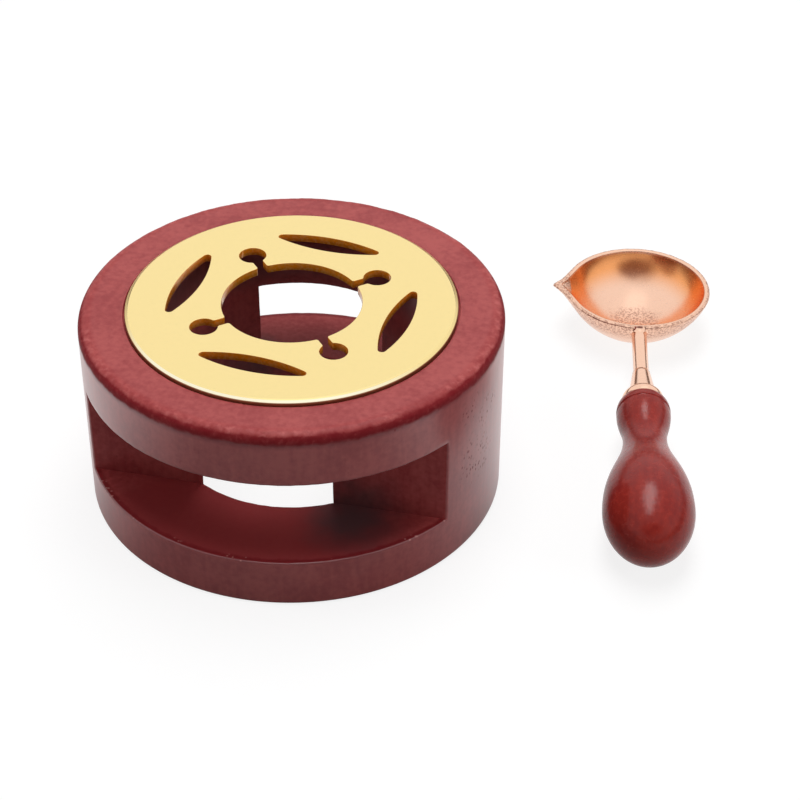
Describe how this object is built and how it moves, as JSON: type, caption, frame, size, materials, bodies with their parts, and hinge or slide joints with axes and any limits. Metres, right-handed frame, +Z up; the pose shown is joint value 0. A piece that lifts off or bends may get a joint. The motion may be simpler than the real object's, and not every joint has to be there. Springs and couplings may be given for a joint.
{
  "type": "wax melting stove",
  "caption": "Round turned-wood wax-melting stove with side windows and a loose fretted metal plate, with a metal pouring spoon on a turned wooden handle lying beside it.",
  "frame": {"origin": "centre of the stove's bore, in the plane that the stove stands on", "axes": "+Z up along the bore, windows facing -Y and +Y, spoon on the +X side with its handle towards -Y"},
  "size_m": [0.1192, 0.1191, 0.0399],
  "materials": {
    "stove_wood": "satin red stain",
    "handle_wood": "glossy red lacquer",
    "plate_metal": "polished gold plate",
    "spoon_metal": "rose gold plate"
  },
  "bodies": {
    "stove": {"stove_body": "stove_wood"},
    "plate": {"top_plate": "plate_metal"},
    "spoon": {"spoon_bowl": "spoon_metal", "spoon_stem": "spoon_metal", "spoon_ferrule": "spoon_metal", "spoon_handle": "handle_wood"}
  },
  "joints": [
    {"name": "plate_lift", "type": "slide", "parent": "stove", "child": "plate", "axis": [0, 0, 1], "range_m": [0, 0.02]},
    {"name": "spoon_lift", "type": "slide", "parent": "stove", "child": "spoon", "axis": [0, 0, 1], "range_m": [0, 0.06]}
  ]
}
